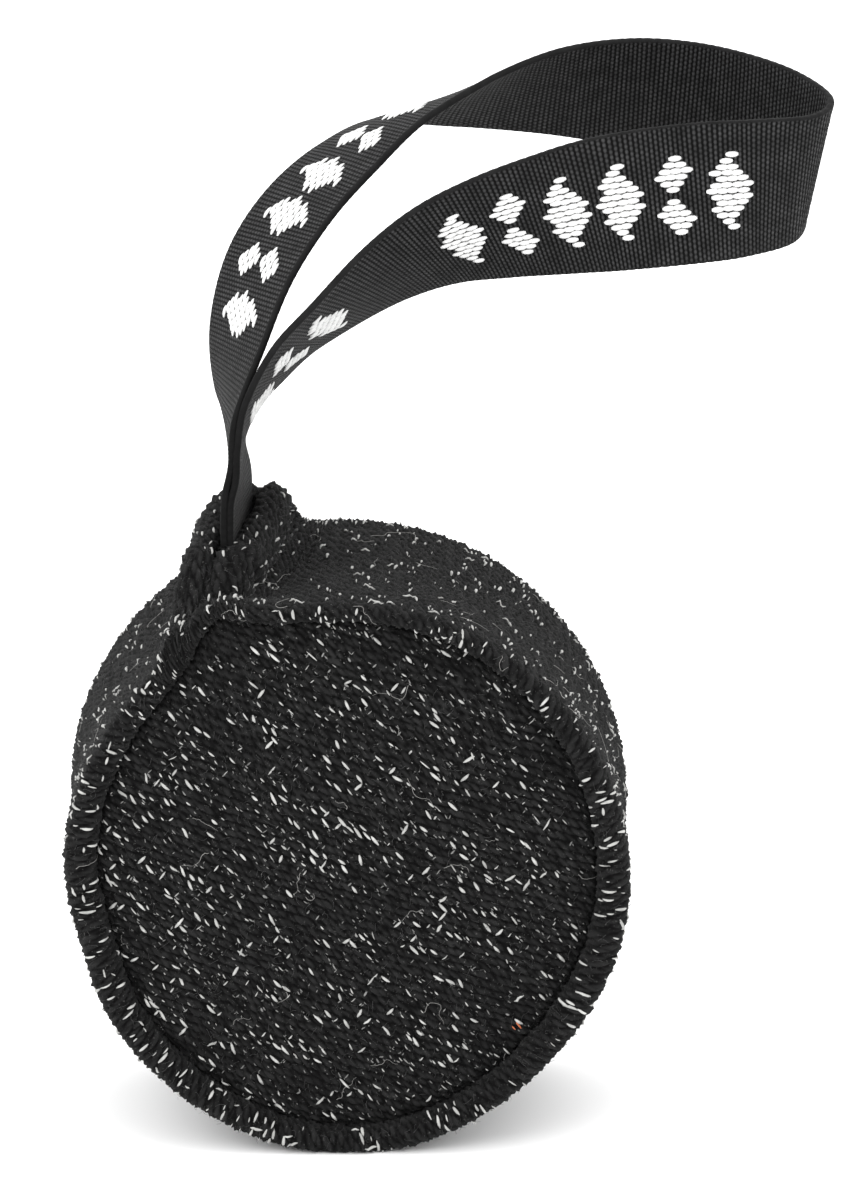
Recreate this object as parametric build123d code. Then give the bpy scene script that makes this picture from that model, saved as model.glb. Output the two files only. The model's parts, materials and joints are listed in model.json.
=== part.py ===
from build123d import *
import math
import os

import numpy as np

# Round sewn training bumper with a webbing hand loop. Millimetres.
# Frame: +Z up, the drum's axis runs along Y, the faces look along -Y (front) and +Y (rear).
# The origin is the middle of the small flat that the drum stands on.

# --- Drum ---
DRUM_RADIUS = 60.5          # outside of the side band
AXIS_HEIGHT = 59.8          # a little under the radius, so the rim is pressed flat on the floor
FABRIC = 1.5                # thickness of the cover cloth
ROLL_Y = 33.0               # where the side band starts to roll over into the rim
ROLL_RADIUS = 2.85          # outside radius of the rolled rim
SEAM_RADIUS = 53.9          # edge of the round panels
DOME_Y = 38.0               # middle of a domed panel, from the drum's middle plane
DOME_EDGE_Y = 33.5          # edge of a domed panel
ALLOWANCE_Y = 24.0          # the seam allowances reach inwards to here

# --- Filling ---
CORE_RADIUS = 46.0
CORE_HALF = 26.0
CORE_FILLET = 5.0
FILL_GAP = 0.3              # loose fit between filling pieces and cover
WRAP_HALF = 23.6
PAD_RADIUS = 51.9
PAD_EDGE_Y = 31.6

# --- Thread ---
THREAD_RADIUS = 0.4
SEAM_THREAD_Y = 29.0

# --- Webbing and the stitched lip it comes out of ---
STRIP_WIDTH = 30.0
STRIP_THICK = 1.5
STRIP_HALF_GAP = 0.8        # middle of each end from the plane where the two ends meet
ROOT_X = -23.8              # the webbing leaves the band left of the top
ROOT_YAW = -14.0            # the end seam crosses the band at a slant
PIVOT_Z = 77.5              # above the drum's axis: the fold line of the loop
KNUCKLE_RADIUS = 1.6
TAIL_LOW_Z = 50.0
TAIL_TOP_Z = 74.9
LIP_TOP_Z = 73.5
LIP_LOW_Z = 48.0
LIP_THICK = 14.0
LIP_LENGTH = 48.0
LIP_FILLET = 5.5
LIP_TOP_FILLET = 4.5
SLOT_THICK = 3.7
SLOT_LENGTH = 30.8
STITCH_ROWS = (60.5, 66.0)  # heights of the two tack rows above the drum's axis
TACK_PITCH = 4.0
TACK_COUNT = 7
END_STITCH_ROWS = (60.5, 64.0, 67.5)
END_STITCH_Y = 19.5         # the end seam goes on past the webbing to both rims
STITCH_LENGTH = LIP_THICK - 2.0  # each stitch is pulled 1 mm into the cloth on both sides

STANDING = (Align.CENTER, Align.CENTER, Align.MIN)
HANGING = (Align.CENTER, Align.CENTER, Align.MAX)

# --- The loop's course ---
# Middle of the strip from the drum's axis, and the direction across its width from the
# rear (then lower) edge to the front (then upper) edge. It starts and ends at the fold line.
COURSE = [
    (-24.6, 0.0, 77.5, -0.24, -0.97, 0.00),
    (-24.9, 0.0, 85.5, -0.08, -1.00, 0.00),
    (-25.5, -0.5, 96.5, 0.14, -0.99, 0.00),
    (-23.2, 1.0, 111.0, 0.37, -0.93, 0.03),
    (-18.4, 4.5, 125.5, 0.45, -0.90, 0.00),
    (-10.4, 10.0, 137.4, 0.45, -0.89, 0.00),
    (0.0, 16.0, 146.7, 0.39, -0.92, 0.04),
    (11.4, 22.5, 153.3, 0.30, -0.93, 0.20),
    (28.0, 29.5, 156.0, 0.09, -0.85, 0.51),
    (46.0, 34.0, 157.3, 0.00, -0.64, 0.77),
    (63.2, 34.5, 156.5, 0.00, -0.41, 0.91),
    (79.3, 30.0, 154.0, 0.04, -0.20, 0.98),
    (93.4, 20.0, 151.5, 0.13, -0.22, 0.97),
    (100.5, 8.0, 148.7, 0.19, -0.29, 0.94),
    (97.0, -2.0, 146.5, 0.13, -0.19, 0.97),
    (86.0, -8.5, 146.0, 0.03, -0.03, 1.00),
    (74.0, -11.5, 145.5, -0.04, 0.15, 0.99),
    (58.2, -12.0, 143.7, -0.17, 0.00, 0.98),
    (44.8, -10.0, 140.7, -0.24, -0.26, 0.93),
    (32.3, -8.0, 137.3, -0.27, -0.47, 0.84),
    (20.2, -6.0, 132.8, -0.27, -0.65, 0.71),
    (8.8, -4.5, 126.0, -0.27, -0.79, 0.55),
    (-2.4, -3.5, 117.0, -0.24, -0.89, 0.39),
    (-11.1, -2.5, 109.0, -0.24, -0.93, 0.27),
    (-17.8, -1.5, 99.4, -0.24, -0.96, 0.12),
    (-21.6, -0.8, 91.0, -0.17, -0.98, 0.02),
    (-22.9, -0.3, 84.5, -0.12, -0.99, 0.00),
    (-23.0, 0.0, 77.5, -0.24, -0.97, 0.00),
]
STEPS_PER_SPAN = 2


def drum_plane():
    """The plane whose local x is the drum's radius and local y the drum's axis."""
    return Plane(origin=(0, 0, AXIS_HEIGHT), x_dir=(1, 0, 0), z_dir=(0, 0, 1))


def spin(profile):
    """Turns a half profile, drawn as radius and distance along the axis, about the drum's axis."""
    return revolve(drum_plane() * profile, Axis((0, 0, AXIS_HEIGHT), (0, 1, 0)), 360)


def root_place(z):
    """The place on the end seam at a height above the drum's axis, turned to the seam's slant."""
    return Pos(ROOT_X, 0, AXIS_HEIGHT + z) * Rot(0, 0, ROOT_YAW)


def webbing_slot():
    """The room that the webbing's two ends take where they pass through the band and its lip."""
    return root_place(LIP_LOW_Z) * Box(SLOT_THICK, SLOT_LENGTH, DRUM_RADIUS, align=STANDING)


def drum_solid(radius, length=4 * DRUM_RADIUS):
    """A plain cylinder on the drum's axis, longer than the drum unless its length is given."""
    return Pos(0, 0, AXIS_HEIGHT) * Rot(90, 0, 0) * Cylinder(radius, length)


def band_ends():
    """The band's two ends, turned out as a rounded lip. They meet face to face in front of and
    behind the webbing's slot, so each is a solid of its own."""
    height = LIP_TOP_Z - LIP_LOW_Z
    block = root_place(LIP_LOW_Z) * Box(LIP_THICK, LIP_LENGTH, height, align=STANDING)
    block = fillet(block.edges().filter_by(Axis.Z), LIP_FILLET)
    block = fillet(block.edges().group_by(Axis.Z)[-1], LIP_TOP_FILLET)
    lip = block - drum_solid(DRUM_RADIUS) - webbing_slot()
    half = Box(LIP_THICK, 2 * LIP_LENGTH, 2 * height, align=(Align.MIN, Align.CENTER, Align.CENTER))
    place = root_place(LIP_LOW_Z)
    return Compound([lip & (place * half), lip & (place * Rot(0, 0, 180) * half)])


def side_band():
    """The cloth round the drum, without its turned-out ends: both edges roll over the rim and
    turn in at the seam."""
    inner = DRUM_RADIUS - FABRIC
    roll_centre = DRUM_RADIUS - ROLL_RADIUS
    flange = roll_centre - ROLL_RADIUS
    inner_roll = ROLL_RADIUS - FABRIC
    apex = ROLL_Y + ROLL_RADIUS
    inner_apex = ROLL_Y + inner_roll
    outline = [
        Line((flange, ALLOWANCE_Y), (flange, ROLL_Y)),
        ThreePointArc((flange, ROLL_Y), (roll_centre, apex), (DRUM_RADIUS, ROLL_Y)),
        Line((DRUM_RADIUS, ROLL_Y), (DRUM_RADIUS, -ROLL_Y)),
        ThreePointArc((DRUM_RADIUS, -ROLL_Y), (roll_centre, -apex), (flange, -ROLL_Y)),
        Line((flange, -ROLL_Y), (flange, -ALLOWANCE_Y)),
        Line((flange, -ALLOWANCE_Y), (flange + FABRIC, -ALLOWANCE_Y)),
        Line((flange + FABRIC, -ALLOWANCE_Y), (flange + FABRIC, -ROLL_Y)),
        ThreePointArc((flange + FABRIC, -ROLL_Y), (roll_centre, -inner_apex), (inner, -ROLL_Y)),
        Line((inner, -ROLL_Y), (inner, ROLL_Y)),
        ThreePointArc((inner, ROLL_Y), (roll_centre, inner_apex), (flange + FABRIC, ROLL_Y)),
        Line((flange + FABRIC, ROLL_Y), (flange + FABRIC, ALLOWANCE_Y)),
        Line((flange + FABRIC, ALLOWANCE_Y), (flange, ALLOWANCE_Y)),
    ]
    band = spin(make_face(Wire(outline)))
    floor = Box(4 * DRUM_RADIUS, 4 * DRUM_RADIUS, DRUM_RADIUS, align=HANGING)
    return band - webbing_slot() - floor


def dome_arc(side, edge_radius, edge_y, middle_y):
    """The arc of a dome, square to the drum's axis in the middle, out to its edge."""
    rise = middle_y - edge_y
    sphere = (edge_radius**2 + rise**2) / (2 * rise)
    half = edge_radius / 2
    half_y = middle_y - sphere + math.sqrt(sphere**2 - half**2)
    return ThreePointArc((0, side * middle_y), (half, side * half_y), (edge_radius, side * edge_y))


def round_panel(side):
    """A domed disc of cloth, its edge turned in along the seam. side is -1 front, +1 rear."""
    inner = SEAM_RADIUS - FABRIC
    inner_edge_y = DOME_EDGE_Y - FABRIC
    outline = [
        dome_arc(side, SEAM_RADIUS, DOME_EDGE_Y, DOME_Y),
        Line((SEAM_RADIUS, side * DOME_EDGE_Y), (SEAM_RADIUS, side * ALLOWANCE_Y)),
        Line((SEAM_RADIUS, side * ALLOWANCE_Y), (inner, side * ALLOWANCE_Y)),
        Line((inner, side * ALLOWANCE_Y), (inner, side * inner_edge_y)),
        dome_arc(side, inner, inner_edge_y, DOME_Y - FABRIC),
        Line((0, side * (DOME_Y - FABRIC)), (0, side * DOME_Y)),
    ]
    return spin(make_face(Wire(outline)))


def foam_core():
    """A firm disc in the middle, which keeps the bumper round when it is bitten."""
    core = drum_solid(CORE_RADIUS, 2 * CORE_HALF)
    return fillet(core.edges().filter_by(GeomType.CIRCLE), CORE_FILLET)


def wadding_wrap():
    """Soft wadding wound round the core, under the side band."""
    inner = CORE_RADIUS + FILL_GAP
    outer = DRUM_RADIUS - FABRIC - FILL_GAP
    profile = Pos((inner + outer) / 2, 0) * Rectangle(outer - inner, 2 * WRAP_HALF)
    wrap = spin(profile)
    tails = root_place(TAIL_LOW_Z - FILL_GAP) * Box(SLOT_THICK, SLOT_LENGTH, DRUM_RADIUS, align=STANDING)
    return wrap - tails


def face_pad(side):
    """A lens of wadding between the core and a round panel."""
    low = CORE_HALF + FILL_GAP
    top = DOME_Y - FABRIC - FILL_GAP
    outline = [
        Line((0, side * low), (0, side * top)),
        dome_arc(side, PAD_RADIUS, PAD_EDGE_Y, top),
        Line((PAD_RADIUS, side * PAD_EDGE_Y), (PAD_RADIUS, side * low)),
        Line((PAD_RADIUS, side * low), (0, side * low)),
    ]
    return spin(make_face(Wire(outline)))


def seam_thread(side):
    """The run of thread between the two seam allowances, all round a panel."""
    radius = (SEAM_RADIUS + DRUM_RADIUS - 2 * ROLL_RADIUS) / 2
    return spin(Pos(radius, side * SEAM_THREAD_Y) * Circle(THREAD_RADIUS))


def webbing_ends():
    """The two ends of the strip, lying face to face in the end seam."""
    height = TAIL_TOP_Z - TAIL_LOW_Z
    slab = Box(STRIP_THICK, STRIP_WIDTH, height, align=STANDING)
    place = root_place(TAIL_LOW_Z)
    return Compound([place * Pos(x, 0, 0) * slab for x in (-STRIP_HALF_GAP, STRIP_HALF_GAP)])


def handle_tacks():
    """Two rows of tack stitches through both lips and both webbing ends."""
    stitches = []
    for z in STITCH_ROWS:
        for i in range(TACK_COUNT):
            y = (i - (TACK_COUNT - 1) / 2) * TACK_PITCH
            place = root_place(z) * Pos(0, y, 0) * Rot(0, 90, 0)
            stitches.append(place * Cylinder(THREAD_RADIUS, STITCH_LENGTH))
    return Compound(stitches)


def end_seam_thread():
    """Stitches that close the band's two ends in front of and behind the webbing."""
    stitches = []
    for side in (-1, 1):
        for z in END_STITCH_ROWS:
            place = root_place(z) * Pos(0, side * END_STITCH_Y, 0) * Rot(0, 90, 0)
            stitches.append(place * Cylinder(THREAD_RADIUS, STITCH_LENGTH))
    return Compound(stitches)


def smooth(points, steps):
    """Points on a curve through the given ones: each span is a cubic whose end slopes are
    half the chord from the point before to the point after."""
    rows = np.array(points, dtype=float)
    padded = np.vstack([2 * rows[0] - rows[1], rows, 2 * rows[-1] - rows[-2]])
    out = []
    for i in range(len(rows) - 1):
        before, start, end, after = padded[i : i + 4]
        for k in range(steps):
            s = k / steps
            out.append(
                0.5
                * (
                    2 * start
                    + (end - before) * s
                    + (2 * before - 5 * start + 4 * end - after) * s**2
                    + (3 * start - before - 3 * end + after) * s**3
                )
            )
    out.append(rows[-1])
    return np.array(out)


def strip_corners():
    """The four long corners of the webbing, each a list of points along the strip's course."""
    rows = smooth(COURSE, STEPS_PER_SPAN)
    middles = rows[:, :3] + np.array([0.0, 0.0, AXIS_HEIGHT])
    tangents = np.gradient(middles, axis=0)
    tangents /= np.linalg.norm(tangents, axis=1, keepdims=True)
    across = rows[:, 3:] - tangents * np.sum(rows[:, 3:] * tangents, axis=1, keepdims=True)
    across *= STRIP_WIDTH / 2 / np.linalg.norm(across, axis=1, keepdims=True)
    outward = np.cross(across, tangents)
    outward *= STRIP_THICK / 2 / np.linalg.norm(outward, axis=1, keepdims=True)
    signs = ((-1, -1), (1, -1), (1, 1), (-1, 1))
    return [middles + a * across + b * outward for a, b in signs]


def webbing_loop():
    """The free part of the strip: a loop that twists a quarter turn, from a rounded fold line."""
    corners = []
    for line in strip_corners():
        shares = [i / (len(line) - 1) for i in range(len(line))]
        corners.append(Edge.make_spline([Vector(*point) for point in line], parameters=shares))
    faces = [Face.make_surface_from_curves(corners[i], corners[(i + 1) % 4]) for i in range(4)]
    for end in (0, 1):
        points = [corner @ end for corner in corners]
        faces.append(make_face(Polyline(*points, close=True)))
    strip = Solid(Shell(faces))
    knuckle = root_place(PIVOT_Z) * Rot(90, 0, 0) * Cylinder(KNUCKLE_RADIUS, STRIP_WIDTH)
    return strip + knuckle


NODES = {
    "side_band": side_band,
    "band_ends": band_ends,
    "front_panel": lambda: round_panel(-1),
    "rear_panel": lambda: round_panel(1),
    "foam_core": foam_core,
    "wadding_wrap": wadding_wrap,
    "front_pad": lambda: face_pad(-1),
    "rear_pad": lambda: face_pad(1),
    "front_seam_thread": lambda: seam_thread(-1),
    "rear_seam_thread": lambda: seam_thread(1),
    "end_seam_thread": end_seam_thread,
    "handle_tacks": handle_tacks,
    "webbing_ends": webbing_ends,
    "webbing_loop": webbing_loop,
}

os.makedirs("parts", exist_ok=True)
for name, make in NODES.items():
    export_step(make(), "parts/" + name + ".step")
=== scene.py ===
import json
import math

import bpy
import numpy as np
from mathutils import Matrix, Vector


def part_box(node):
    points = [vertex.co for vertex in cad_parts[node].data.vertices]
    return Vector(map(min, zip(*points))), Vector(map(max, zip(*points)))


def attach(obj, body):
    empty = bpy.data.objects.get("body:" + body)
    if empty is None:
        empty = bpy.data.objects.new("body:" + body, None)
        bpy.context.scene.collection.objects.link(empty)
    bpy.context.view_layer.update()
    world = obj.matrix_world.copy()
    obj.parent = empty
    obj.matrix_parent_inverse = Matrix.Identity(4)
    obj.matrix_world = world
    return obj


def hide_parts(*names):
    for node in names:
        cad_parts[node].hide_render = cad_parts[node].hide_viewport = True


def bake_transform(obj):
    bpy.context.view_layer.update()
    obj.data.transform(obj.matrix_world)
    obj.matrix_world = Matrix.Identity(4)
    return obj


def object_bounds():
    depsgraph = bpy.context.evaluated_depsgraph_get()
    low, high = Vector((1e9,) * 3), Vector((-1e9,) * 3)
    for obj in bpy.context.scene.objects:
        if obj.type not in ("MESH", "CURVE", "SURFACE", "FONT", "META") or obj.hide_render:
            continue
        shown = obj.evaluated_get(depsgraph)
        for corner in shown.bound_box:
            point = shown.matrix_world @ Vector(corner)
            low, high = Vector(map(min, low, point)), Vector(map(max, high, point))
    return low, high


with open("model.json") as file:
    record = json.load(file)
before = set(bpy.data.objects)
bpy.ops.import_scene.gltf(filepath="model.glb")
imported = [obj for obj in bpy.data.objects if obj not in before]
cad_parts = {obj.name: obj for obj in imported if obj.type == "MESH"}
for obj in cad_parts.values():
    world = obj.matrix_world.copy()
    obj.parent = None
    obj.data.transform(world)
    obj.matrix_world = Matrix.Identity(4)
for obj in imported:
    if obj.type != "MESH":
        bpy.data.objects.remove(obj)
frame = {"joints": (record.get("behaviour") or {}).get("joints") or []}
CAD_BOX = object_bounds()

# Round sewn training bumper: a stuffed tweed drum with a webbing hand loop.
# Lengths are millimetres until a mesh, a light or the camera is made, and MM turns them into metres.
# +Z is up, the drum's axis runs along Y and its front face looks along -Y.
MM = 0.001
FLOOR_GAP = 0.02                           # nothing on the drum comes closer to the floor

# --- Places and sizes from the frame ---
BAND_LOW, BAND_HIGH = (np.array(corner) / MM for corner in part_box("side_band"))
DRUM_RADIUS = (BAND_HIGH[0] - BAND_LOW[0]) / 2
AXIS_HEIGHT = BAND_HIGH[2] - DRUM_RADIUS
RIM_Y = BAND_HIGH[1]
FOLD = np.array(frame["joints"][0]["pos_m"]) / MM
FOLD_AXIS = np.array(frame["joints"][0]["axis"])
SLANT = FOLD_AXIS[0] / FOLD_AXIS[1]        # the lip's line crosses the band at this slope
ROOT_ANGLE = math.acos(FOLD[0] / DRUM_RADIUS)

# --- The cover's shape ---
RIM_FRONT_Y = RIM_Y - 1.0                  # middle of the rolled rim from the drum's middle plane
RIM_BULGE = 2.9                            # how far the roll stands out in front of its middle
CREASE_Y = RIM_Y - 6.5                     # bottom of the seam crease
WAIST = 1.3                                # the band draws in by this between its rims
SEAM_ACROSS = 54.2                         # half the width of the round seam
SEAM_UP = 56.8                             # half its height
SEAM_RISE = 1.6                            # its middle lies this far above the drum's axis
SEAM_GAP = 0.25                            # the panel's edge stays this far inside the seam
PULL_ANGLE = math.radians(115.5)           # where the front seam is pulled up towards the handle
DENT_ANGLE = math.radians(193.0)           # where the left side is pressed in a little
DOME_Y = RIM_Y + 2.0                       # middle of a domed panel
PANEL_EDGE_Y = RIM_Y - 2.6
PANEL_TUCK = 2.4                           # the panel's edge turns into the crease over this width
TUCK_DEPTH = PANEL_EDGE_Y - CREASE_Y
TUCK_CLOTH = 5.0                           # cloth that the turned edge takes
TAIL_CLOTH = RIM_FRONT_Y - CREASE_Y
ROLL_CLOTH = 7.6
BAND_CLOTH = 2 * (TAIL_CLOTH + ROLL_CLOTH + RIM_FRONT_Y)

# --- The lip round the webbing: path of the cloth from the slot's bottom out to the band ---
LIP_PATH = np.array([
    (0.0, 8.0), (1.4, 9.2), (1.7, 12.6), (2.7, 14.7), (4.8, 15.4),
    (7.0, 14.5), (8.4, 12.0), (8.7, 8.4), (7.8, 4.6), (8.4, 1.9), (12.5, 0.0),
])
LIP_FLAT = LIP_PATH[-1, 0]
LIP_SLOT = 1.7                             # half the width of the slot for the webbing
SLOT_REACH = 14.5                          # half the slot's length; it closes over the next 3 mm
LIP_CLOTH = float(np.sum(np.hypot(*np.diff(LIP_PATH, axis=0).T)))
RING_CLOTH = 2 * (math.pi * DRUM_RADIUS - LIP_FLAT + LIP_CLOTH)

# --- Tweed: rows of thick two-ply yarn ---
ROW_PITCH = 1.7
LOBE_PITCH = 2.25
PLY_LEAN = 1.48                            # how far a ply's lobe leans along the row per mm across it
YARN_HEIGHT = 0.85                         # a crest above the cloth's middle
FRONT_WEAVE, REAR_WEAVE, BAND_WEAVE = 41, 51, 71     # seeds of the three cloths' unevenness
PANEL_FLECKS = 0.29                        # share of the lobe runs that show white on a panel
BAND_FLECKS = 0.34                         # and on the band's rims
FLECK_LENGTH = (1.95, 0.45)                # mean and spread
FLECK_WIDTH = (0.14, 0.035)                # mean and spread of the half width, as shares of the length
SPECK_COUNT = 1900                         # grey specks scattered over the square round a panel
PANEL_TURN = math.radians(-18.0)           # the rows' direction on the front panel
BAND_TURN = math.radians(-56.0)            # and on the band, so that the plies lie across it
ALONG_PLY = math.radians(-30.0)            # the plies' direction in a row
ACROSS_PLY = math.radians(64.0)            # and that of the few flecks which cross them

# --- Webbing ---
STRIP_WIDTH = 30.0
STRIP_THICK = 1.3
RIB_PITCH = 1.0
RIB_HEIGHT = 0.26
TAIL_DEPTH = 27.0                          # each end is sewn in over this length
# The strip's middle from the drum's axis, and the direction across it from the rear
# (then lower) edge to the front (then upper) edge.
COURSE = [
    (-24.2, 0.0, 77.5, -0.12, -0.99, 0.00), (-24.4, 0.0, 85.5, -0.02, -1.00, 0.00),
    (-25.5, -0.5, 96.5, 0.14, -0.99, 0.00), (-23.2, 1.0, 111.0, 0.37, -0.93, 0.03),
    (-18.4, 4.5, 125.5, 0.45, -0.90, 0.00), (-10.4, 10.0, 137.4, 0.45, -0.89, 0.00),
    (0.0, 16.0, 146.7, 0.39, -0.92, 0.04), (11.4, 22.5, 153.3, 0.30, -0.93, 0.20),
    (28.0, 29.5, 156.0, 0.09, -0.85, 0.51), (46.0, 34.0, 157.3, 0.00, -0.64, 0.77),
    (63.2, 34.5, 156.5, 0.00, -0.41, 0.91), (79.3, 30.0, 154.0, 0.04, -0.20, 0.98),
    (93.4, 20.0, 151.5, 0.13, -0.22, 0.97), (100.5, 8.0, 148.7, 0.19, -0.29, 0.94),
    (97.0, -2.0, 146.5, 0.13, -0.19, 0.97), (86.0, -8.5, 146.0, 0.03, -0.03, 1.00),
    (74.0, -11.5, 145.5, -0.04, 0.15, 0.99), (58.2, -12.0, 143.7, -0.17, 0.00, 0.98),
    (44.8, -10.0, 140.7, -0.24, -0.26, 0.93), (32.3, -8.0, 137.3, -0.27, -0.47, 0.84),
    (20.2, -6.0, 132.8, -0.27, -0.65, 0.71), (8.8, -4.5, 126.0, -0.27, -0.79, 0.55),
    (-2.4, -3.5, 117.0, -0.24, -0.89, 0.39), (-11.1, -2.5, 109.0, -0.24, -0.93, 0.27),
    (-17.8, -1.5, 99.4, -0.22, -0.97, 0.10), (-21.6, -0.8, 91.0, -0.08, -1.00, 0.02),
    (-22.9, -0.3, 84.5, -0.03, -1.00, 0.00), (-22.9, 0.0, 77.5, -0.12, -0.99, 0.00),
]


# ---------------------------------------------------------------- shared shapes

def smoothstep(low, high, x):
    """0 below low, 1 above high, and an S-shaped cubic between them."""
    t = np.clip((x - low) / (high - low), 0.0, 1.0)
    return t * t * (3.0 - 2.0 * t)


def bump(x, width):
    """A bell curve of height 1 round zero."""
    return np.exp(-((x / width) ** 2))


def waves(u, v, length, seed, count=6):
    """A smooth random field of about -1 to 1: the mean of sine waves of about one length, each
    with its own direction, length and phase."""
    draw = np.random.default_rng(seed)
    turns = draw.uniform(0.0, 2 * math.pi, count)
    lengths = length * draw.uniform(0.7, 1.4, count)
    phases = draw.uniform(0.0, 2 * math.pi, count)
    total = 0.0
    for turn, size, phase in zip(turns, lengths, phases):
        along = u * math.cos(turn) + v * math.sin(turn)
        total = total + np.sin(2 * math.pi * along / size + phase)
    return total * 1.6 / count


def curve_through(points, steps):
    """Points on a curve through the given ones: each span is a cubic whose end slopes are half
    the chord from the point before to the point after."""
    rows = np.array(points, dtype=float)
    padded = np.vstack([2 * rows[0] - rows[1], rows, 2 * rows[-1] - rows[-2]])
    s = (np.arange(steps) / steps)[None, :, None]
    before, start, end, after = (padded[i : len(rows) - 1 + i, None, :] for i in range(4))
    spans = 0.5 * (
        2 * start
        + (end - before) * s
        + (2 * before - 5 * start + 4 * end - after) * s**2
        + (3 * start - before - 3 * end + after) * s**3
    )
    return np.vstack([spans.reshape(-1, rows.shape[1]), rows[-1:]])


def even_steps(points, count, columns=3):
    """The same curve with count points, evenly spaced along the length of its first columns."""
    gaps = np.linalg.norm(np.diff(points[:, :columns], axis=0), axis=1)
    reach = np.concatenate([[0.0], np.cumsum(gaps)])
    at = np.linspace(0.0, reach[-1], count)
    return np.stack([np.interp(at, reach, points[:, k]) for k in range(points.shape[1])], axis=1)


def unit(vectors):
    """Each vector at length 1."""
    return vectors / np.maximum(np.linalg.norm(vectors, axis=-1, keepdims=True), 1e-9)


# ---------------------------------------------------------------- meshes

def add_piece(name, points, faces, material, values=None, uv=None):
    """A smooth-shaded object from points in millimetres and an array of faces of one corner
    count. values is a dict of point attributes, uv a pair per point."""
    mesh = bpy.data.meshes.new(name)
    mesh.vertices.add(len(points))
    mesh.vertices.foreach_set("co", (points * MM).astype(np.float32).ravel())
    mesh.loops.add(faces.size)
    mesh.loops.foreach_set("vertex_index", faces.astype(np.int32).ravel())
    mesh.polygons.add(len(faces))
    mesh.polygons.foreach_set("loop_start", np.arange(0, faces.size, faces.shape[1], dtype=np.int32))
    mesh.polygons.foreach_set("use_smooth", np.ones(len(faces), dtype=bool))
    mesh.update(calc_edges=True)
    for key, numbers in (values or {}).items():
        attribute = mesh.attributes.new(key, "FLOAT", "POINT")
        attribute.data.foreach_set("value", np.asarray(numbers, np.float32).ravel())
    if uv is not None:
        layer = mesh.uv_layers.new(name="weave")
        layer.data.foreach_set("uv", (uv * MM)[faces.ravel()].astype(np.float32).ravel())
    mesh.materials.append(material)
    piece = bpy.data.objects.new(name, mesh)
    bpy.context.scene.collection.objects.link(piece)
    return piece


def grid_faces(rows, columns, wrap_rows=False, wrap_columns=False):
    """Quads between the neighbours of a rows x columns grid of points, numbered row by row."""
    r = np.arange(rows if wrap_rows else rows - 1)
    c = np.arange(columns if wrap_columns else columns - 1)
    r, c = np.meshgrid(r, c, indexing="ij")
    r_next, c_next = (r + 1) % rows, (c + 1) % columns
    corners = [r * columns + c, r * columns + c_next, r_next * columns + c_next, r_next * columns + c]
    return np.stack(corners, axis=-1).reshape(-1, 4)


def strands(name, lines, normals, wide, high, material, sides=6):
    """Many closed strands as one piece. lines[n, k] are the stations of strand n, normals its up
    direction there, and wide and high its half sizes across and up. Each station is an ellipse
    of sides points (an even number), and each end is closed by a fan of quads."""
    count, stations = lines.shape[:2]
    along = unit(np.gradient(lines, axis=1))
    across = unit(np.cross(along, normals))
    up = np.cross(across, along)
    turn = np.arange(sides) * 2 * math.pi / sides
    wide = np.broadcast_to(wide, (count, stations))[..., None, None]
    high = np.broadcast_to(high, (count, stations))[..., None, None]
    sideways = across[:, :, None] * wide * np.cos(turn)[:, None]
    upwards = up[:, :, None] * high * np.sin(turn)[:, None]
    ring = sideways + upwards
    points = (lines[:, :, None] + ring).reshape(-1, 3)
    points[:, 2] = np.maximum(points[:, 2], FLOOR_GAP)
    wall = grid_faces(stations, sides, wrap_columns=True)
    fan = np.array([(0, k, k + 1, k + 2) for k in range(1, sides - 1, 2)])
    one = np.vstack([wall, fan[:, ::-1], fan + (stations - 1) * sides])[:, ::-1]
    shift = np.arange(count)[:, None, None] * stations * sides
    return add_piece(name, points, (one + shift).reshape(-1, 4), material)


# ---------------------------------------------------------------- the drum's surfaces

def hollow(angle):
    """How far the drum falls short of a circle: two flats between its sides and its underside,
    and a shallow dent on its left side."""
    below = np.sin(angle) < 0
    dent = 2 * DRUM_RADIUS * np.sin((angle - DENT_ANGLE) / 2)
    return 1.5 * below * np.sin(2 * angle) ** 2 + 2.0 * bump(dent, 15.0)


def rim_radius(angle):
    """The rims' radius at an angle from +X: a little fuller above the axis."""
    return DRUM_RADIUS - 0.4 + 1.1 * np.clip(np.sin(angle), 0.0, 1.0) ** 2 - hollow(angle)


def front_pull(angle, y):
    """How far the front rim and seam are drawn up towards the handle: a broad bell and a narrow
    one round the pulled place, fading towards the middle of the band."""
    arc = (angle - PULL_ANGLE) * DRUM_RADIUS
    return (4.6 * bump(arc, 11.0) + 2.2 * bump(arc, 4.5)) * smoothstep(-22.0, -32.0, y)


def seam_radius(angle):
    """The round seam is an ellipse, a little taller than wide and a little above the axis, with
    small scallops between its stitches."""
    ellipse = SEAM_ACROSS * SEAM_UP / np.hypot(SEAM_UP * np.cos(angle), SEAM_ACROSS * np.sin(angle))
    scallop = 0.25 * waves(angle * SEAM_ACROSS, 0.0 * angle, 9.0, 11)
    return ellipse + SEAM_RISE * np.sin(angle) + scallop - hollow(angle)


def seam_at(angle, side):
    """Radius of the front seam (side -1), with its pull, or of the rear one (side 1)."""
    pull = front_pull(angle, -RIM_Y + 0 * angle) if side < 0 else 0.0
    return seam_radius(angle) + pull


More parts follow.
